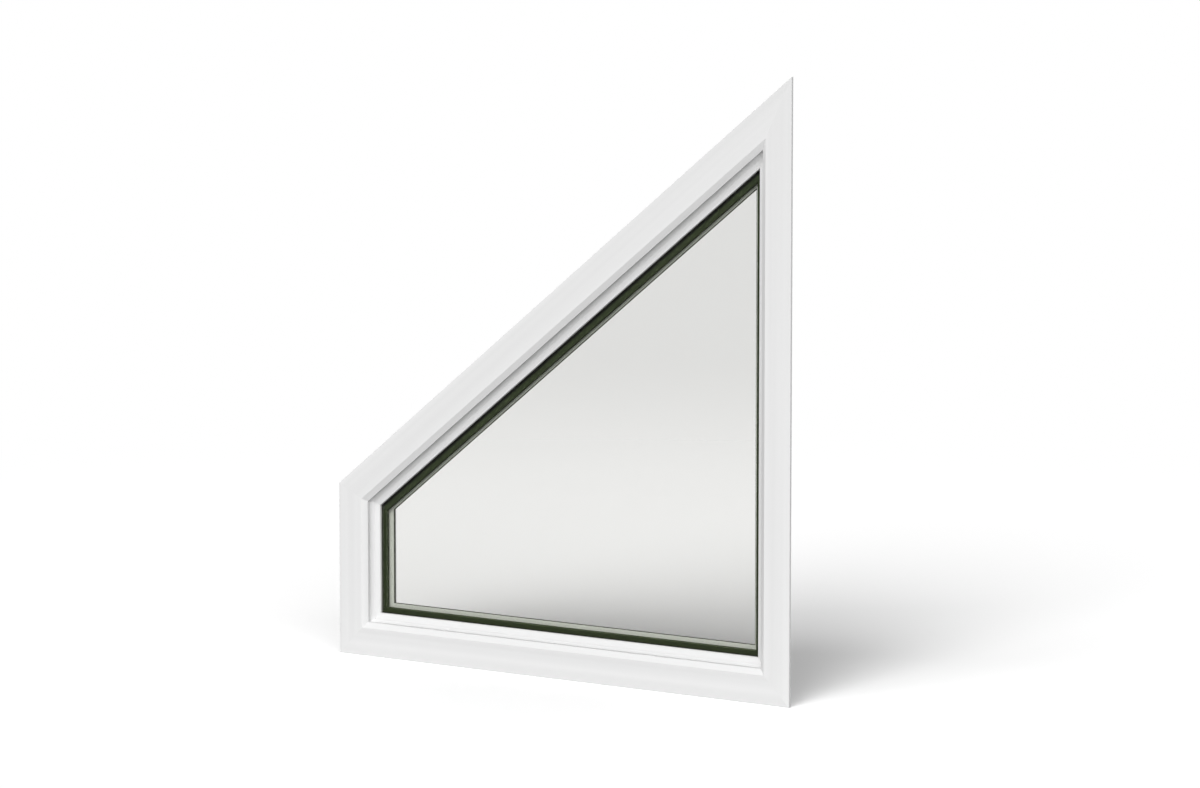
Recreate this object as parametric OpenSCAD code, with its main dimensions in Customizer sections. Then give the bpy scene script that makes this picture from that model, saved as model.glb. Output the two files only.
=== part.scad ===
// Fixed trapezoid window: a mitred vinyl frame with a wall flange, snap-in glazing
// beads and a sealed double-glazed unit.
//
// The window stands upright in XZ and its outside faces -Y. The wall face, which is the
// back of the flange, is the plane y = 0. The origin lies on that face, in the middle of
// the sill flange.
//
// Every long piece is a profile swept along one side and mitred at both ends. A profile
// is drawn in (u, d): u runs inward from the flange's outer edge, and d runs backward
// from the front of that edge.

/* [Window] */
// Width over the flange
width = 914; // [640:1:1500]
// Height of the tall side over the flange
tall_h = 1022; // [760:1:1800]
// Height of the short side over the flange
short_h = 294; // [280:1:620]

/* [Frame] */
// Reach of the wall flange beyond the frame body
flange_w = 44.5; // [30:0.5:60]
// Thickness of the wall flange
flange_t = 4.5; // [3.5:0.5:6]
// Depth of the frame body behind the wall face
body_d = 66; // [62:1:90]
// Wall thickness of the frame profile
wall_t = 2.2; // [1.8:0.1:2.6]
// Thickness of the webs between chambers
web_t = 1.6; // [1:0.1:2]
// Width of the gentle slope along the flange's outer edge
lead_w = 15; // [8:0.5:18]
// Rise of that slope to the field of the face
field_rise = 0.8; // [0.4:0.1:1.2]
// Further rise from the field to the crest beside the bevel
crest_rise = 0.5; // [0.3:0.1:0.9]
// Width of the strip that rises to the crest
crest_w = 9.5; // [6:0.5:12]
// Distance from the body's outer wall to the crest
nose_w = 3.9; // [3:0.1:6]
// Width of the bevel that falls from the crest
bevel_w = 9.2; // [8:0.1:12]
// Fall of the bevel
bevel_d = 6.2; // [5:0.1:8]
// Depth of the square step behind the bevel
step_d = 4.9; // [4:0.1:7]
// Height of the glazing pocket's floor above the step
floor_rise = 2.4; // [2:0.1:3]
// Reach of the inside leg past the bead's edge
leg_reach = 16; // [8:0.5:20]
// Thickness of the soft lip on the leg's tip
lip_t = 1; // [0.6:0.1:1.5]

/* [Glazing bead] */
// Width of the bead's cove
cove_w = 4.9; // [4:0.1:6]
// Depth of the bead's cove
cove_d = 6.6; // [5:0.1:7]
// Width of the bead's face
bead_w = 10.5; // [9:0.5:14]
// Fall of the bead's face towards the glass
bead_fall = 2.8; // [1.5:0.1:3.4]
// Thickness of the bead's edge at the glass
bead_edge = 4.8; // [4:0.1:6]
// Wall thickness of the bead
bead_wall = 1.3; // [1:0.1:1.5]
// Thickness of the gasket between bead and glass
gasket_t = 1; // [0.8:0.1:1.5]

/* [Glass unit] */
// Thickness of each pane
pane_t = 3; // [3:0.5:4]
// Gap between the panes
gap_t = 6.5; // [6:0.5:14]
// Thickness of the glazing tape behind the unit
tape_t = 1; // [0.8:0.1:2]
// Width of the glazing tape
tape_w = 9; // [6:0.5:10]
// Height of the spacer bar
spacer_h = 9; // [7:0.5:10]
// Height of the seal around the spacer bar
seal_h = 8; // [6:0.5:9]
// Edge clearance of the unit at the jambs
side_clear = 5; // [3:0.5:6]
// Thickness of the setting blocks under the unit
block_t = 6; // [4:0.5:6]
// Edge clearance of the unit at the head
head_clear = 9; // [6:0.5:10]
// Length of a setting block
block_len = 100; // [60:5:120]

/* [Hidden] */

// Sides, in order round the window as seen from outside
SILL = 0;
TALL = 1;
HEAD = 2;
SHORT = 3;

// Small values that the maker's tooling sets
fit = 0.3;            // clearance of a snapped or loose piece
edge_r = 0.8;         // roundness of the flange's front edge
crest_r = 1.2;        // roundness of the crest
arris_r = 0.5;        // roundness of the profile's other outer corners
toe_w = 1.9;          // reach of the bead's toe into its groove
toe_t = 2.3;          // height of that groove
toe_drop = 5;         // depth of that groove behind the step
bead_line_w = 0.5;    // width of the fine line between the bead's cove and face
cove_sag = 0.8;       // hollow of the bead's cove below its chord
face_bow = 0.3;       // hollow of the bead's face below its chord
nose_r = 1.6;         // roundness of the bead's edge
tip_w = 4.5;          // flat on the tip of the inside leg
tip_r = 0.8;          // roundness of the tip's front edge
lip_r = 0.4;          // roundness of the soft lip's edges
inside_w = 26;        // width of the flat inside face of the frame
inside_r = 2;         // roundness of the inside face's edge
caulk_w = 4;          // width of a sealant groove in the flange's back
caulk_d = 1;          // depth of a sealant groove
clip_w = 3.6;         // mouth of the mounting clips' groove in the body's outer side
clip_h = 3.4;         // depth of that groove
clip_lip = 1.4;       // height of the undercut that a clip hooks behind
clip_hook = 1.2;      // reach of the undercut to each side
wedge_t = 0.35;       // thickness of the gasket's thin edge
shoulder_w = 1.6;     // width of the spacer bar's sloped shoulders
shoulder_d = 1.1;     // depth of those shoulders
spacer_wall = 0.7;    // wall thickness of the spacer bar

// Places across the profile
u_crest = flange_w + nose_w;
u_step = u_crest + bevel_w;
u_cove = u_step + cove_w;
u_bead = u_cove + bead_w;
u_floor = u_step + floor_rise;
u_leg = u_bead + leg_reach;

// Depths, back from the front of the flange's edge
d_field = -field_rise;
d_crest = d_field - crest_rise;
d_bevel = d_crest + bevel_d;
d_step = d_bevel + step_d;
d_toe = d_step + toe_drop;
d_cove = d_step + cove_d;
d_face = d_cove + bead_fall;
d_edge = d_face + bead_edge;
d_glass = d_edge + gasket_t;
d_inner = d_glass + pane_t + gap_t;
d_tape = d_inner + pane_t;
d_leg = d_tape + tape_t;
d_back = flange_t + body_d;
d_clip = (d_leg + d_back) / 2;

// The window's corners over the flange, seen from outside, from bottom left
CORNERS = [[0, 0], [width, 0], [width, tall_h], [0, short_h]];
FRAME = [0, 0, 0, 0];
GLASS = [u_floor + block_t, u_floor + side_clear, u_floor + head_clear, u_floor + side_clear];

function prev(i) = (i + 3) % 4;
function next(i) = (i + 1) % 4;
function along(i) = (CORNERS[next(i)] - CORNERS[i]) / norm(CORNERS[next(i)] - CORNERS[i]);
function inward(i) = [-along(i)[1], along(i)[0]];

// Corner i of the outline whose sides lie at the given distances inside the flange's edge
function corner(i, inset) =
    let (a = inward(prev(i)), b = inward(i), da = inset[prev(i)], db = inset[i],
         det = a[0] * b[1] - a[1] * b[0])
    CORNERS[i] + [da * b[1] - db * a[1], db * a[0] - da * b[0]] / det;

function shifted(inset, by) = [for (v = inset) v + by];
function outline(inset) = [for (i = [0:3]) corner(i, inset)];

// A point at the given share of side i of such an outline
function side_point(i, inset, share) =
    corner(i, inset) * (1 - share) + corner(next(i), inset) * share;

// Points of a shallow bow from p, included, to q, left out; sag is positive to the left
function bow(p, q, sag, steps = 6) =
    let (left = [p[1] - q[1], q[0] - p[0]] / norm(q - p))
    [for (k = [0:steps - 1]) let (s = k / steps) p + (q - p) * s + left * 4 * sag * s * (1 - s)];

// The arc of radius r that rounds corner p between its neighbours a and b, or p itself for r = 0
function corner_arc(a, p, b, r, steps = 5) =
    r == 0 ? [p] :
    let (v = (a - p) / norm(a - p), w = (b - p) / norm(b - p),
         half = acos(v * w) / 2,
         centre = p + (v + w) / norm(v + w) * r / sin(half),
         from = p + v * r / tan(half) - centre,
         to = p + w * r / tan(half) - centre,
         start = atan2(from[1], from[0]),
         turn = (atan2(to[1], to[0]) - start + 540) % 360 - 180)
    [for (k = [0:steps])
        let (t = start + turn * k / steps) centre + r * [cos(t), sin(t)]];

// A closed outline from its corners, each given as [point, radius of its rounding]
function rounded(corners) =
    let (n = len(corners))
    [for (i = [0:n - 1])
        each corner_arc(corners[(i + n - 1) % n][0], corners[i][0], corners[(i + 1) % n][0], corners[i][1])];

// The same for an open line, of which the two end points are left out
function rounded_line(corners) =
    [for (i = [1:len(corners) - 2])
        each corner_arc(corners[i - 1][0], corners[i][0], corners[i + 1][0], corners[i][1])];

// Moves from the profile's place to the window's own origin
module placed() {
    translate([-width / 2, -flange_t, -flange_w / 2]) children();
}

// A slab of a flat outline, from depth d to d + t
module slab(points, d, t) {
    translate([0, d + t, 0]) rotate([90, 0, 0]) linear_extrude(t) polygon(points);
}

// Sweeps a profile along side i of the outline and mitres both ends
module mitred(i, inset, reach) {
    start = corner(i, inset);
    end = corner(next(i), inset);
    turn = atan2(along(i)[1], along(i)[0]);
    spare = 2 * reach;
    low = shifted(inset, -1);
    high = shifted(inset, reach);
    run = end + along(i) * spare;
    placed() intersection() {
        translate([run[0], 0, run[1]]) rotate([0, -turn - 90, 0])
            linear_extrude(norm(end - start) + 2 * spare) children();
        slab([corner(i, low), corner(next(i), low), corner(next(i), high), corner(i, high)],
             -2 * flange_t, d_back + 4 * flange_t);
    }
}

// ---- Frame ---------------------------------------------------------------------------

inside_u = flange_w + inside_w;
slope_in = (u_leg - inside_u) / (d_back - d_leg - tip_w);
slope_out = bevel_d / bevel_w;

// Outside of the frame profile
module frame_outline() {
    groove_u = u_step - toe_w - fit;
    polygon(rounded([
        [[0, flange_t], 0], [[0, 0], edge_r],
        [[lead_w, d_field], 0], [[u_crest - crest_w, d_field], 0],
        [[u_crest, d_crest], crest_r],
        [[u_step, d_bevel], arris_r],
        [[u_step, d_toe], 0], [[groove_u, d_toe], 0],
        [[groove_u, d_toe + toe_t], 0], [[u_floor, d_toe + toe_t], 0],
        [[u_floor, d_leg], 0], [[u_leg, d_leg], tip_r],
        [[u_leg, d_leg + tip_w], arris_r], [[inside_u, d_back], inside_r],
        [[flange_w, d_back], 0], [[flange_w, flange_t], 0]]));
}

// Chambers of the frame profile
module frame_chambers() {
    u0 = flange_w + wall_t;
    bevel_wall = wall_t * norm([bevel_d, bevel_w]) / bevel_w;
    toe_web = u_step - toe_w - fit - web_t;
    front = d_crest + bevel_wall;
    // behind the bevel
    polygon([[u0, front], [u_crest, front], [u_step - wall_t, front + slope_out * (bevel_w - wall_t)],
             [u_step - wall_t, d_toe - wall_t], [u0, d_toe - wall_t]]);
    // under the glazing pocket, in two bays
    polygon([[u0, d_toe - wall_t + web_t], [toe_web, d_toe - wall_t + web_t],
             [toe_web, d_toe + toe_t + wall_t],
             [u_floor - wall_t, d_toe + toe_t + wall_t], [u_floor - wall_t, d_glass], [u0, d_glass]]);
    polygon([[u0, d_glass + web_t], [u_floor - wall_t, d_glass + web_t],
             [u_floor - wall_t, d_leg], [u0, d_leg]]);
    // inside the wall of the room
    polygon([[u0, d_leg + web_t], [u_floor - wall_t, d_leg + web_t],
             [u_floor - wall_t, d_back - wall_t], [u0, d_back - wall_t]]);
    // behind the inside leg
    leg_wall = wall_t * norm([slope_in, 1]);
    top = u_leg - leg_wall + slope_in * (tip_w - wall_t);
    polygon([[u_floor, d_leg + wall_t], [min(top, u_leg - wall_t), d_leg + wall_t],
             [inside_u - leg_wall + slope_in * wall_t, d_back - wall_t], [u_floor, d_back - wall_t]]);
}

// The T-shaped groove that the mounting clips hook into, grown all round by spare
module clip_groove(spare) {
    translate([flange_w - 1, d_clip - clip_w / 2 - spare])
        square([1 + clip_h + spare, clip_w + 2 * spare]);
    translate([flange_w + clip_h - clip_lip - spare, d_clip - clip_w / 2 - clip_hook - spare])
        square([clip_lip + 2 * spare, clip_w + 2 * clip_hook + 2 * spare]);
}

// Grooves that take the sealant behind the flange
module caulk_grooves() {
    for (u = [flange_w / 4, flange_w * 3 / 4])
        translate([u - caulk_w / 2, flange_t - caulk_d]) square([caulk_w, caulk_d + 1]);
}

module frame_member(i) {
    color("white") mitred(i, FRAME, u_leg + 5) difference() {
        frame_outline();
        difference() {
            frame_chambers();
            clip_groove(web_t);
        }
        clip_groove(0);
        caulk_grooves();
    }
}

// ---- Glazing bead, gasket, lip and tape -------------------------------------------------------------

module bead_profile() {
    back_u = u_step + fit;
    toe_u = u_step - toe_w;
    toe_front = d_toe + fit;
    toe_back = d_toe + toe_t - fit;
    inner_front = d_cove + bead_wall * 1.6;
    cove = bow([back_u, d_step], [u_cove, d_cove], cove_sag);
    face = bow([u_cove + bead_line_w, d_cove], [u_bead - nose_r, d_face], face_bow);
    rest = rounded_line([
        [[u_cove, d_face], 0], [[u_bead, d_face], nose_r], [[u_bead, d_edge], arris_r],
        [[u_floor, d_edge], 0], [[u_floor, toe_back], 0], [[toe_u, toe_back], arris_r],
        [[toe_u, toe_front], arris_r], [[back_u, toe_front], 0], [cove[0], 0]]);
    difference() {
        polygon(concat(cove, [[u_cove, d_cove], [u_cove + bead_line_w / 2, d_cove + bead_line_w]],
                       face, rest));
        polygon([[u_floor + bead_wall, d_edge - bead_wall],
                 [u_floor + bead_wall, inner_front],
                 [u_cove, inner_front],
                 [u_bead - nose_r, d_face + bead_wall * 1.1],
                 [u_bead - bead_wall, d_face + nose_r],
                 [u_bead - bead_wall, d_edge - bead_wall]]);
    }
}

module bead(i) {
    color("white") mitred(i, FRAME, u_leg) bead_profile();
}

// A wedge with its full thickness at the glass edge of the bead
module gasket(i) {
    foot_u = (u_bead + u_floor) / 2;
    color("dimgray") mitred(i, FRAME, u_leg)
        polygon([[foot_u, d_glass - gasket_t], [u_bead - arris_r, d_edge], [u_bead, d_edge + wedge_t],
                 [u_bead, d_glass], [foot_u, d_glass]]);
}

// A soft strip on the flat of the inside leg's tip
module lip(i) {
    front = d_leg + tip_r;
    back = d_leg + tip_w - arris_r;
    color("gray") mitred(i, FRAME, u_leg + 5)
        polygon(rounded([[[u_leg, front], 0], [[u_leg + lip_t, front], lip_r],
                         [[u_leg + lip_t, back], lip_r], [[u_leg, back], 0]]));
}

module tape(i) {
    color("gainsboro") mitred(i, GLASS, u_leg)
        translate([1, d_tape]) square([tape_w, tape_t]);
}

// ---- Glass unit ------------------------------------------------------------------------------

module pane(d) {
    color("lightcyan", 0.35) placed() slab(outline(GLASS), d, pane_t);
}

// The spacer bar's outline, or with a wall its hollow, which holds the drying agent
module spacer_outline(wall) {
    low = d_glass + pane_t + wall;
    high = d_glass + pane_t + gap_t - wall;
    foot = seal_h + wall;
    top = seal_h + spacer_h - wall;
    round_r = max(arris_r - wall, 0);
    polygon(rounded([
        [[foot, low], 0], [[top - shoulder_w, low], round_r], [[top, low + shoulder_d], round_r],
        [[top, high - shoulder_d], round_r], [[top - shoulder_w, high], round_r], [[foot, high], 0]]));
}

module spacer(i) {
    color("black") mitred(i, GLASS, u_leg) difference() {
        spacer_outline(0);
        spacer_outline(spacer_wall);
    }
}

module edge_seal() {
    color("black") placed() difference() {
        slab(outline(GLASS), d_glass + pane_t, gap_t);
        slab(outline(shifted(GLASS, seal_h)), d_glass + pane_t - 1, gap_t + 2);
    }
}

// A block that carries the unit on the pocket's floor, at a share of the sill
module setting_block(share) {
    x = side_point(SILL, GLASS, share)[0];
    color("darkslategray") placed()
        translate([x - block_len / 2, d_glass, u_floor]) cube([block_len, d_tape - d_glass, block_t]);
}

// A block that keeps the unit clear of jamb i, at a share of that jamb
module jamb_block(i, share) {
    edge = side_point(i, GLASS, share);
    x = edge[0] - (i == SHORT ? side_clear : 0);
    color("darkslategray") placed()
        translate([x, d_glass, edge[1] - block_len / 2]) cube([side_clear, d_tape - d_glass, block_len]);
}

// ---- Nodes -----------------------------------------------------------------------------------

frame_member(SILL);  // sill
frame_member(TALL);  // tall_jamb
frame_member(HEAD);  // head
frame_member(SHORT);  // short_jamb
bead(SILL);  // sill_bead
bead(TALL);  // tall_jamb_bead
bead(HEAD);  // head_bead
bead(SHORT);  // short_jamb_bead
gasket(SILL);  // sill_gasket
gasket(TALL);  // tall_jamb_gasket
gasket(HEAD);  // head_gasket
gasket(SHORT);  // short_jamb_gasket
tape(SILL);  // sill_tape
tape(TALL);  // tall_jamb_tape
tape(HEAD);  // head_tape
tape(SHORT);  // short_jamb_tape
lip(SILL);  // sill_lip
lip(TALL);  // tall_jamb_lip
lip(HEAD);  // head_lip
lip(SHORT);  // short_jamb_lip
pane(d_glass);  // outer_pane
pane(d_inner);  // inner_pane
spacer(SILL);  // sill_spacer
spacer(TALL);  // tall_jamb_spacer
spacer(HEAD);  // head_spacer
spacer(SHORT);  // short_jamb_spacer
edge_seal();
setting_block(1 / 4);  // setting_block_left
setting_block(3 / 4);  // setting_block_right
jamb_block(TALL, 0.4);  // jamb_block_tall
jamb_block(SHORT, 0.5);  // jamb_block_short
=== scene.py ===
import math

import bmesh
import bpy
from bpy.props import FloatProperty, PointerProperty, StringProperty
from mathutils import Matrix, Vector


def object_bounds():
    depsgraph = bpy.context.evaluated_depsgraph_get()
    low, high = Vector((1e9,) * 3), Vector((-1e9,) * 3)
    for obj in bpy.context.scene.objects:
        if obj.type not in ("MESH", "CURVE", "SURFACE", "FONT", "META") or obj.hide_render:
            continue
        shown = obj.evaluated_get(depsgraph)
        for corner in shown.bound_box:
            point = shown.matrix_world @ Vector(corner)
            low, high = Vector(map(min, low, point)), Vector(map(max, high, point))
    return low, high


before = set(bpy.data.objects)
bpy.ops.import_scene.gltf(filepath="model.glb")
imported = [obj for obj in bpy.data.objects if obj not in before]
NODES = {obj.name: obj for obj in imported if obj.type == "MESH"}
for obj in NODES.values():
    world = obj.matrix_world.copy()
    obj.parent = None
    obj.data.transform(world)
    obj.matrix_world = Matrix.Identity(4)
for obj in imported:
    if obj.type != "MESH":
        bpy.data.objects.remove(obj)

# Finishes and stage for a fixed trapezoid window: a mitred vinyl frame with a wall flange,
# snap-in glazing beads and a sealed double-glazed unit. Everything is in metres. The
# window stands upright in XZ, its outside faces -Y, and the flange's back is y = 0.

bl_info = {
    "name": "Trapezoid Window",
    "version": (1, 0, 0),
    "blender": (4, 5, 0),
    "location": "3D View > Sidebar > Window",
    "description": "Finishes and stage for a fixed vinyl window with a slanted head",
    "category": "Object",
}

MM = 0.001
SIDES = ("sill", "tall_jamb", "head", "short_jamb")

# Marks on the vinyl. Real die lines are finer than this, which is as fine as still shows
DIE_LINE_WIDTH = 2.5 * MM
DIE_LINE_LENGTH = 600 * MM
DIE_LINE_DEPTH = 0.03 * MM
BAND_WIDTH = 14 * MM
BAND_LENGTH = 1500 * MM
BAND_TONES = (0.94, 1.07)
GLOSS_DRIFT = (-0.04, 0.06)
PVC_IOR = 1.53

# Marks on the dull pieces
RUBBER_GRAIN = 1.5 * MM
FOAM_GRAIN = 1.2 * MM
SEALANT_GRAIN = 4 * MM
GRAIN_TONES = (0.8, 1.2)
RUBBER_IOR = 1.52

# The slow ripple of heat-treated glass, from crest to crest and in depth
ROLLER_WAVE = 300 * MM
ROLLER_WAVE_DEPTH = 0.02 * MM
GLASS_IOR = 1.52

# Outweighs any count of mirrorings along a light path
OUTWEIGH = -100.0

FLOOR_CORNERS = 96
CAMERA_SENSOR = 36
CAMERA_REACH = 200

CAD_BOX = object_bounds()

# The four runs of the frame, each as the angle of its length above the horizontal
SHORT_TOP = max((v.co for v in NODES["short_jamb"].data.vertices), key=lambda co: co.z)
TALL_TOP = max((v.co for v in NODES["tall_jamb"].data.vertices), key=lambda co: co.z)
HEAD_SLOPE = math.atan2(TALL_TOP.z - SHORT_TOP.z, TALL_TOP.x - SHORT_TOP.x)
RUN_ANGLE = {"sill": 0.0, "tall_jamb": math.pi / 2, "head": HEAD_SLOPE, "short_jamb": math.pi / 2}


# ---- Values a user would change -----------------------------------------------------------


class WindowFinish(bpy.types.PropertyGroup):
    """Colours and surface values of the window's own materials."""

    vinyl: StringProperty(
        name="Vinyl", description="Colour of the frame and the beads", default="#E4E4E4"
    )
    vinyl_roughness: FloatProperty(
        name="Vinyl roughness",
        description="Roughness of the extruded vinyl",
        default=0.36,
        min=0,
        max=1,
        subtype="FACTOR",
    )
    gasket: StringProperty(
        name="Gasket", description="Colour of the rubber wedge at the glass", default="#77776A"
    )
    spacer: StringProperty(
        name="Spacer", description="Colour of the bar between the panes", default="#2A3518"
    )
    sealant: StringProperty(
        name="Sealant", description="Colour of the seal round the glass unit", default="#1B1C1A"
    )
    # The soft lip on the leg's tip is real, but its dark grey is painted shade: it stands in for the
    # shadowed side of the inside leg's tip.
    lip: StringProperty(
        name="Soft lip in painted shade",
        description="Colour of the soft strip on the inside leg's tip, dark as painted shade",
        default="#50524A",
    )
    tape: StringProperty(
        name="Glazing tape",
        description="Colour of the foam tape behind the unit",
        default="#D9DAD6",
    )
    block: StringProperty(
        name="Setting block", description="Colour of the rubber blocks", default="#2A2D2C"
    )
    glass_tint: StringProperty(
        name="Glass tint", description="Colour of light through one pane", default="#FEFEFD"
    )
    glass_pass: StringProperty(
        name="Glass pass",
        description="What one face of a pane lets through to things close behind it",
        default="#F8F9F6",
    )
    glass_shade: StringProperty(
        name="Glass shade",
        description="What one face of a pane lets through to things that stand far behind it",
        default="#868A82",
    )
    glass_reach: FloatProperty(
        name="Glass reach",
        description="How far behind the glass a thing is lit as through clear glass",
        default=0.08,
        unit="LENGTH",
    )


class WindowStage(bpy.types.PropertyGroup):
    """Camera, floor and light."""

    lens: FloatProperty(name="Lens", description="Focal length", default=160, unit="CAMERA")
    azimuth: FloatProperty(
        name="Azimuth",
        description="Turn of the camera to the right of the window's front",
        default=math.radians(34.68),
        subtype="ANGLE",
    )
    elevation: FloatProperty(
        name="Elevation",
        description="Height of the camera above the window's level",
        default=math.radians(7.18),
        subtype="ANGLE",
    )
    distance: FloatProperty(
        name="Distance", description="Camera to the aimed point", default=8.78, unit="LENGTH"
    )
    aim_right: FloatProperty(
        name="Aim right", description="Aimed point from the middle", default=0.0861, unit="LENGTH"
    )
    aim_up: FloatProperty(
        name="Aim up",
        description="Aimed point above the wall face's origin",
        default=0.4636, unit="LENGTH",
    )
    floor: StringProperty(name="Floor", description="Colour of the floor", default="#FBFBFB")
    floor_radius: FloatProperty(
        name="Floor radius", description="Radius of the round floor", default=40, unit="LENGTH"
    )
    floor_gain: FloatProperty(
        name="Floor gain",
        description="How much lighter the eye sees the floor than it is lit",
        default=1.31,
    )
    floor_bounce: FloatProperty(
        name="Floor bounce",
        description="Share of the floor's light that reaches the window",
        default=0.64,
    )
    white_from: FloatProperty(
        name="White from",
        description="Where the floor starts to fade to white",
        default=1.5, unit="LENGTH",
    )
    white_to: FloatProperty(
        name="White to", description="Where the floor has become white", default=3.0, unit="LENGTH"
    )
    dim_behind: FloatProperty(
        name="Dim behind",
        description="Far floor as the glass shows it, with white as 1",
        default=0.89,
    )
    dim_from: FloatProperty(
        name="Dim from", description="Where that dimming starts", default=2.2, unit="LENGTH"
    )
    dim_to: FloatProperty(
        name="Dim to", description="Where that dimming ends", default=4.6, unit="LENGTH"
    )
    ambient: FloatProperty(
        name="Ambient", description="Strength of the even light from all round", default=0.265
    )
    mirrored: FloatProperty(
        name="Mirrored",
        description="Strength of the studio as gloss and glass mirror it",
        default=0.05,
    )
    high_light: FloatProperty(
        name="High light", description="Strength of the lamp high in front", default=0.8
    )
    front_light: FloatProperty(
        name="Front light", description="Strength of the low lamp in front", default=1.59
    )
    side_light: FloatProperty(
        name="Side light", description="Strength of the low lamp to the right", default=0.64
    )
    back_light: FloatProperty(
        name="Back light",
        description="Strength of the low lamp behind, which lights only the frame",
        default=1.7,
    )
    high_angle: FloatProperty(
        name="High lamp's angle",
        description="Angle of the high lamp above the floor",
        default=math.radians(50),
        subtype="ANGLE",
    )
    low_angle: FloatProperty(
        name="Low lamps' angle",
        description="Angle of the low lamps above the floor",
        default=math.radians(30),
        subtype="ANGLE",
    )
    front_turn: FloatProperty(
        name="Front lamp's turn",
        description="Turn of the low front lamp to the right of the window's front",
        default=math.radians(15),
        subtype="ANGLE",
    )
    side_turn: FloatProperty(
        name="Side lamp's turn",
        description="Turn of the side lamp to the right of the window's front",
        default=math.radians(50),
        subtype="ANGLE",
    )
    lamp_spread: FloatProperty(
        name="Lamp spread",
        description="How wide each lamp looks from the window",
        default=math.radians(28),
        subtype="ANGLE",
    )


# ---- Small tools --------------------------------------------------------------------------


def linear(hex_colour):
    """An sRGB hex colour as the linear colour that the shaders take."""
    parts = [int(hex_colour[i : i + 2], 16) / 255 for i in (1, 3, 5)]
    return [c / 12.92 if c <= 0.04045 else ((c + 0.055) / 1.055) ** 2.4 for c in parts] + [1.0]


def new_material(name):
    """An empty node material and its output node."""
    material = bpy.data.materials.new(name)
    material.use_nodes = True
    material.node_tree.nodes.clear()
    return material, material.node_tree.nodes.new("ShaderNodeOutputMaterial")


def add_node(tree, kind, inputs=None, **settings):
    """Adds a node with its settings, and fills its inputs with values or other nodes' outputs."""
    node = tree.nodes.new(kind)
    for name, value in settings.items():
        setattr(node, name, value)
    for socket, value in (inputs or {}).items():
        if isinstance(value, bpy.types.NodeSocket):
            tree.links.new(value, node.inputs[socket])
        else:
            node.inputs[socket].default_value = value
    return node


def coat(names, material):
    """Gives every slot of these CAD nodes the material."""
    for name in names:
        node = NODES[name]
        if not node.material_slots:
            node.data.materials.append(material)
        for slot in node.material_slots:
            slot.link = "OBJECT"
            slot.material = material


# ---- Materials ----------------------------------------------------------------------------


def extruded_pvc(name, angle, finish):
    """Rigid white PVC drawn through a die: an even, faintly glossy skin whose only marks run
    along its length: die lines, which catch a grazing light, and soft bands of tone, which
    turn at each mitre and so let the weld be seen."""
    material, output = new_material(name)
    tree = material.node_tree
    place = add_node(tree, "ShaderNodeTexCoord")
    along = add_node(
        tree,
        "ShaderNodeMapping",
        {"Vector": place.outputs["Object"], "Rotation": (0, angle, 0)},
    )
    # die lines run along the length
    lines = add_node(
        tree,
        "ShaderNodeMapping",
        {
            "Vector": along.outputs["Vector"],
            "Scale": (1 / DIE_LINE_LENGTH, 1 / DIE_LINE_WIDTH, 1 / DIE_LINE_WIDTH),
        },
    )
    streaks = add_node(
        tree,
        "ShaderNodeTexNoise",
        {"Vector": lines.outputs["Vector"], "Scale": 1, "Detail": 2, "Roughness": 0.5},
    )
    # bands of tone run along the length too
    stretched = add_node(
        tree,
        "ShaderNodeMapping",
        {"Vector": along.outputs["Vector"], "Scale": (1 / BAND_LENGTH, 1 / BAND_WIDTH, 1 / BAND_WIDTH)},
    )
    bands = add_node(
        tree,
        "ShaderNodeTexNoise",
        {"Vector": stretched.outputs["Vector"], "Scale": 1, "Detail": 1},
    )
    tone = add_node(
        tree,
        "ShaderNodeMix",
        {"Factor": bands.outputs["Fac"]},
        data_type="RGBA",
    )
    base = linear(finish.vinyl)
    tone.inputs["A"].default_value = [c * BAND_TONES[0] for c in base[:3]] + [1]
    tone.inputs["B"].default_value = [min(c * BAND_TONES[1], 1) for c in base[:3]] + [1]
    gloss = add_node(
        tree,
        "ShaderNodeMapRange",
        {
            "Value": streaks.outputs["Fac"],
            "To Min": finish.vinyl_roughness + GLOSS_DRIFT[0],
            "To Max": finish.vinyl_roughness + GLOSS_DRIFT[1],
        },
    )
    bump = add_node(
        tree,
        "ShaderNodeBump",
        {"Height": streaks.outputs["Fac"], "Strength": 0.35, "Distance": DIE_LINE_DEPTH},
    )
    shader = add_node(
        tree,
        "ShaderNodeBsdfPrincipled",
        {
            "Base Color": tone.outputs["Result"],
            "Roughness": gloss.outputs["Result"],
            "Normal": bump.outputs["Normal"],
            "IOR": PVC_IOR,
        },
    )
    tree.links.new(shader.outputs["BSDF"], output.inputs["Surface"])
    return material


def moulded_rubber(name, colour, roughness, grain):
    """Dense rubber, foam, sealant or soft and filled plastic: dull, with a fine grain left by
    the mould, die or gun that breaks its highlights."""
    material, output = new_material(name)
    tree = material.node_tree
    place = add_node(tree, "ShaderNodeTexCoord")
    grains = add_node(
        tree,
        "ShaderNodeTexNoise",
        {"Vector": place.outputs["Object"], "Scale": 1 / grain, "Detail": 2},
    )
    tone = add_node(tree, "ShaderNodeMix", {"Factor": grains.outputs["Fac"]}, data_type="RGBA")
    base = linear(colour)
    tone.inputs["A"].default_value = [c * GRAIN_TONES[0] for c in base[:3]] + [1]
    tone.inputs["B"].default_value = [min(c * GRAIN_TONES[1], 1) for c in base[:3]] + [1]
    bump = add_node(
        tree,
        "ShaderNodeBump",
        {"Height": grains.outputs["Fac"], "Strength": 0.5, "Distance": grain / 10},
    )
    shader = add_node(
        tree,
        "ShaderNodeBsdfPrincipled",
        {
            "Base Color": tone.outputs["Result"],
            "Roughness": roughness,
            "Normal": bump.outputs["Normal"],
            "IOR": RUBBER_IOR,
        },
    )
    tree.links.new(shader.outputs["BSDF"], output.inputs["Surface"])
    return material


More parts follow.
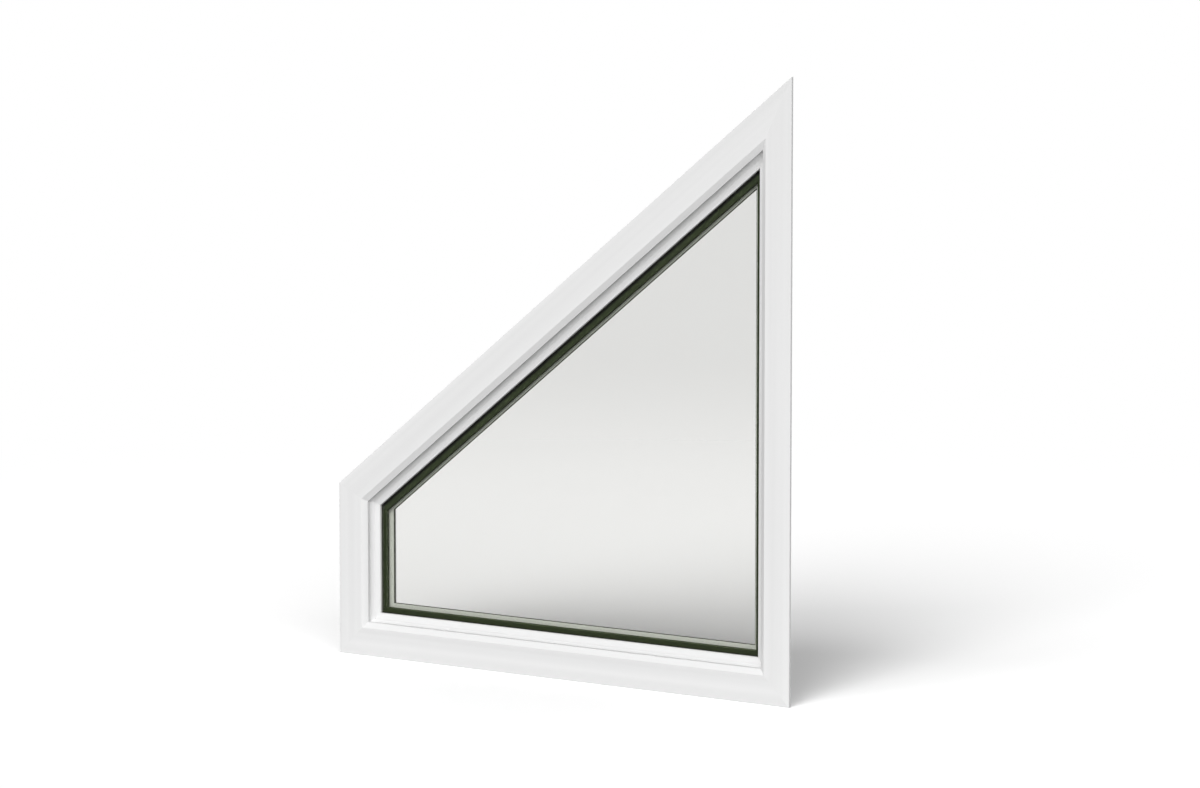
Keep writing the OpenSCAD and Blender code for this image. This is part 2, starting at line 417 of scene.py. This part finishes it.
def float_glass(name, finish):
    """Float glass, fire-polished on both faces: clear, with a trace of iron green and a sharp
    reflection. Lamp light crosses it freely to what lies close behind, such as the spacer and
    the inside leg, and hardly to the floor, so that the window throws one whole shadow."""
    material, output = new_material(name)
    tree = material.node_tree
    place = add_node(tree, "ShaderNodeTexCoord")
    wave = add_node(
        tree,
        "ShaderNodeTexNoise",
        {"Vector": place.outputs["Object"], "Scale": 1 / ROLLER_WAVE, "Detail": 0},
    )
    bump = add_node(
        tree,
        "ShaderNodeBump",
        {"Height": wave.outputs["Fac"], "Strength": 0.2, "Distance": ROLLER_WAVE_DEPTH},
    )
    glass = add_node(
        tree,
        "ShaderNodeBsdfPrincipled",
        {
            "Base Color": linear(finish.glass_tint),
            "Roughness": 0.0,
            "IOR": GLASS_IOR,
            "Transmission Weight": 1.0,
            "Normal": bump.outputs["Normal"],
        },
    )
    path = add_node(tree, "ShaderNodeLightPath")
    far = add_node(
        tree,
        "ShaderNodeMath",
        {0: path.outputs["Ray Length"], 1: finish.glass_reach},
        operation="GREATER_THAN",
    )
    passing = add_node(tree, "ShaderNodeMix", {"Factor": far.outputs[0]}, data_type="RGBA")
    passing.inputs["A"].default_value = linear(finish.glass_pass)
    passing.inputs["B"].default_value = linear(finish.glass_shade)
    clear = add_node(tree, "ShaderNodeBsdfTransparent", {"Color": passing.outputs["Result"]})
    light = add_node(
        tree,
        "ShaderNodeMath",
        {0: path.outputs["Is Shadow Ray"], 1: path.outputs["Is Diffuse Ray"]},
        operation="MAXIMUM",
    )
    mix = add_node(
        tree,
        "ShaderNodeMixShader",
        {0: light.outputs[0], 1: glass.outputs["BSDF"], 2: clear.outputs["BSDF"]},
    )
    tree.links.new(mix.outputs["Shader"], output.inputs["Surface"])
    return material


def mirror_factor(tree, path):
    """1 for what gloss or glass mirrors to the eye, and 0 for all else: light that comes
    through the glass without a bounce is no mirroring, and nor is light on its way to a lamp."""
    return add_node(
        tree,
        "ShaderNodeMath",
        {0: path.outputs["Is Diffuse Ray"], 1: OUTWEIGH, 2: path.outputs["Glossy Depth"]},
        operation="MULTIPLY_ADD",
        use_clamp=True,
    ).outputs[0]


def eye_factor(tree, path):
    """1 for what the eye sees, in the open or through the glass, and 0 for all other light."""
    return add_node(
        tree,
        "ShaderNodeMath",
        {0: path.outputs["Is Camera Ray"], 1: path.outputs["Is Transmission Ray"]},
        operation="MAXIMUM",
    ).outputs[0]


def matt_paper(name, stage):
    """Seamless matt paper: even and without gloss. Near the window the lamps light it and it
    holds the shadow. Further off the eye sees plain white, and gloss mirrors it dimly."""
    material, output = new_material(name)
    tree = material.node_tree
    path = add_node(tree, "ShaderNodeLightPath")
    mirrored = mirror_factor(tree, path)
    place = add_node(tree, "ShaderNodeTexCoord")
    away = add_node(tree, "ShaderNodeVectorMath", {0: place.outputs["Object"]}, operation="LENGTH")
    eye = eye_factor(tree, path)
    # the eye sees the paper lighter than it is lit, and the window gets a share of its light
    share = add_node(
        tree,
        "ShaderNodeMapRange",
        {"Value": eye, "To Min": stage.floor_bounce, "To Max": stage.floor_gain},
    )
    tone = add_node(
        tree,
        "ShaderNodeVectorMath",
        {0: linear(stage.floor)[:3], "Scale": share.outputs["Result"]},
        operation="SCALE",
    )
    lit = add_node(tree, "ShaderNodeBsdfDiffuse", {"Color": tone.outputs["Vector"]})
    # white for the eye, and a little less where the eye looks through the glass
    behind = add_node(
        tree,
        "ShaderNodeMapRange",
        {
            "Value": away.outputs["Value"],
            "From Min": stage.dim_from,
            "From Max": stage.dim_to,
            "To Min": 1.0,
            "To Max": stage.dim_behind,
        },
        interpolation_type="SMOOTHSTEP",
    )
    level = add_node(
        tree,
        "ShaderNodeMix",
        {"Factor": path.outputs["Is Transmission Ray"], "A": 1.0, "B": behind.outputs["Result"]},
    )
    white = add_node(tree, "ShaderNodeEmission", {"Strength": level.outputs["Result"]})
    fade = add_node(
        tree,
        "ShaderNodeMapRange",
        {
            "Value": away.outputs["Value"],
            "From Min": stage.white_from,
            "From Max": stage.white_to,
        },
        interpolation_type="SMOOTHSTEP",
    )
    seen_far = add_node(
        tree, "ShaderNodeMath", {0: eye, 1: fade.outputs["Result"]}, operation="MULTIPLY"
    )
    open_floor = add_node(
        tree,
        "ShaderNodeMixShader",
        {0: seen_far.outputs[0], 1: lit.outputs["BSDF"], 2: white.outputs["Emission"]},
    )
    dim = add_node(tree, "ShaderNodeEmission", {"Strength": stage.mirrored})
    floor = add_node(
        tree,
        "ShaderNodeMixShader",
        {0: mirrored, 1: open_floor.outputs["Shader"], 2: dim.outputs["Emission"]},
    )
    tree.links.new(floor.outputs["Shader"], output.inputs["Surface"])
    return material


# ---- Operators ----------------------------------------------------------------------------


class WINDOW_OT_frame(bpy.types.Operator):
    """Finish the four frame members"""

    bl_idname = "window.frame"
    bl_label = "Frame"

    def execute(self, context):
        finish = context.scene.window_finish
        for side in SIDES:
            material = extruded_pvc(f"Extruded PVC, {side} run", RUN_ANGLE[side], finish)
            coat([side, f"{side}_bead"], material)
        return {"FINISHED"}


class WINDOW_OT_glazing(bpy.types.Operator):
    """Finish the glass unit and what holds it"""

    bl_idname = "window.glazing"
    bl_label = "Glazing"

    def execute(self, context):
        finish = context.scene.window_finish
        coat(["outer_pane", "inner_pane"], float_glass("Float glass, fire polished", finish))
        gasket = moulded_rubber("Extruded EPDM rubber", finish.gasket, 0.6, RUBBER_GRAIN)
        coat([f"{side}_gasket" for side in SIDES], gasket)
        # the lip is a real soft strip, and its dark grey is painted shade for the shadowed side of the
        # leg's tip
        lip = moulded_rubber("Co-extruded soft vinyl darkened as painted shade", finish.lip, 0.5, RUBBER_GRAIN)
        coat([f"{side}_lip" for side in SIDES], lip)
        tape = moulded_rubber("Closed-cell foam tape", finish.tape, 0.8, FOAM_GRAIN)
        coat([f"{side}_tape" for side in SIDES], tape)
        spacer = moulded_rubber("Extruded polypropylene spacer bar", finish.spacer, 0.55, RUBBER_GRAIN)
        coat([f"{side}_spacer" for side in SIDES], spacer)
        seal = moulded_rubber("Gunned polysulphide sealant", finish.sealant, 0.45, SEALANT_GRAIN)
        coat(["edge_seal"], seal)
        block = moulded_rubber("Moulded neoprene", finish.block, 0.65, RUBBER_GRAIN)
        blocks = [name for name in NODES if "block" in name]
        coat(blocks, block)
        return {"FINISHED"}


class WINDOW_OT_stage(bpy.types.Operator):
    """Set up the camera, the floor and the light"""

    bl_idname = "window.stage"
    bl_label = "Stage"

    def execute(self, context):
        stage = context.scene.window_stage
        self.add_camera(context, stage)
        self.add_floor(context, stage)
        self.add_light(context, stage)
        context.scene.view_settings.view_transform = "Standard"
        return {"FINISHED"}

    def add_camera(self, context, stage):
        low = Vector(CAD_BOX[0])
        aim = Vector((stage.aim_right, low.y, stage.aim_up))
        back = Vector(
            (
                math.sin(stage.azimuth) * math.cos(stage.elevation),
                -math.cos(stage.azimuth) * math.cos(stage.elevation),
                math.sin(stage.elevation),
            )
        )
        data = bpy.data.cameras.new("camera")
        data.sensor_fit = "HORIZONTAL"
        data.sensor_width = CAMERA_SENSOR
        data.lens = stage.lens
        data.clip_end = CAMERA_REACH
        camera = bpy.data.objects.new("camera", data)
        camera.location = aim + back * stage.distance
        camera.rotation_euler = (math.pi / 2 - stage.elevation, 0, stage.azimuth)
        context.scene.collection.objects.link(camera)
        context.scene.camera = camera

    def add_floor(self, context, stage):
        low = Vector(CAD_BOX[0])
        disc = bmesh.new()
        bmesh.ops.create_circle(disc, cap_ends=True, radius=stage.floor_radius, segments=FLOOR_CORNERS)
        mesh = bpy.data.meshes.new("floor")
        disc.to_mesh(mesh)
        disc.free()
        floor = bpy.data.objects.new("floor", mesh)
        floor.location.z = low.z
        mesh.materials.append(matt_paper("Seamless matt paper", stage))
        context.scene.collection.objects.link(floor)

    def add_light(self, context, stage):
        """An even room, white for the eye and dim in reflections, and four broad lamps."""
        world = bpy.data.worlds.new("studio")
        world.use_nodes = True
        context.scene.world = world
        tree = world.node_tree
        tree.nodes.clear()
        path = add_node(tree, "ShaderNodeLightPath")
        eye = eye_factor(tree, path)
        # white for the eye, and through the glass as light as the far floor seen through it
        level = add_node(
            tree,
            "ShaderNodeMix",
            {"Factor": path.outputs["Is Transmission Ray"], "A": 1.0, "B": stage.dim_behind},
        )
        seen = add_node(
            tree,
            "ShaderNodeMapRange",
            {"Value": eye, "To Min": stage.ambient, "To Max": level.outputs["Result"]},
        )
        strength = add_node(
            tree,
            "ShaderNodeMix",
            {
                "Factor": mirror_factor(tree, path),
                "A": seen.outputs["Result"],
                "B": stage.mirrored,
            },
        )
        sky = add_node(
            tree,
            "ShaderNodeBackground",
            {"Color": (1, 1, 1, 1), "Strength": strength.outputs["Result"]},
        )
        output = add_node(tree, "ShaderNodeOutputWorld", {"Surface": sky.outputs["Background"]})
        output.is_active_output = True
        for name, strength, turn, height in (
            ("high lamp", stage.high_light, 0.0, stage.high_angle),
            ("front lamp", stage.front_light, stage.front_turn, stage.low_angle),
            ("side lamp", stage.side_light, stage.side_turn, stage.low_angle),
        ):
            self.add_lamp(context, stage, name, strength, turn, height)
        # a lamp behind keeps the frame's room side as white as its front. It lights only the
        # frame members, so that the floor keeps the window's shadow
        members = bpy.data.collections.new("frame members")
        for side in SIDES:
            members.objects.link(NODES[side])
        back = self.add_lamp(
            context, stage, "back lamp", stage.back_light, math.pi, stage.low_angle
        )
        back.light_linking.receiver_collection = members

    def add_lamp(self, context, stage, name, strength, turn, height):
        """A broad distant lamp, turned to the right of the window's front."""
        data = bpy.data.lights.new(name, "SUN")
        data.angle = stage.lamp_spread
        data.energy = strength
        lamp = bpy.data.objects.new(name, data)
        lamp.rotation_euler = (math.pi / 2 - height, 0, turn)
        context.scene.collection.objects.link(lamp)
        return lamp


class WINDOW_PT_panel(bpy.types.Panel):
    """Lists the window's pieces and the stage"""

    bl_idname = "WINDOW_PT_panel"
    bl_label = "Trapezoid Window"
    bl_space_type = "VIEW_3D"
    bl_region_type = "UI"
    bl_category = "Window"

    def draw(self, context):
        for operator in OPERATORS:
            self.layout.operator(operator.bl_idname)
        for group in (context.scene.window_finish, context.scene.window_stage):
            column = self.layout.column()
            for name in group.bl_rna.properties.keys():
                if name not in ("rna_type", "name"):
                    column.prop(group, name)


OPERATORS = (WINDOW_OT_frame, WINDOW_OT_glazing, WINDOW_OT_stage)
CLASSES = (WindowFinish, WindowStage, *OPERATORS, WINDOW_PT_panel)


def register():
    for cls in CLASSES:
        bpy.utils.register_class(cls)
    bpy.types.Scene.window_finish = PointerProperty(type=WindowFinish)
    bpy.types.Scene.window_stage = PointerProperty(type=WindowStage)


def unregister():
    del bpy.types.Scene.window_stage
    del bpy.types.Scene.window_finish
    for cls in reversed(CLASSES):
        bpy.utils.unregister_class(cls)


def main():
    register()
    bpy.ops.window.frame()
    bpy.ops.window.glazing()
    bpy.ops.window.stage()


if __name__ == "__main__":
    main()
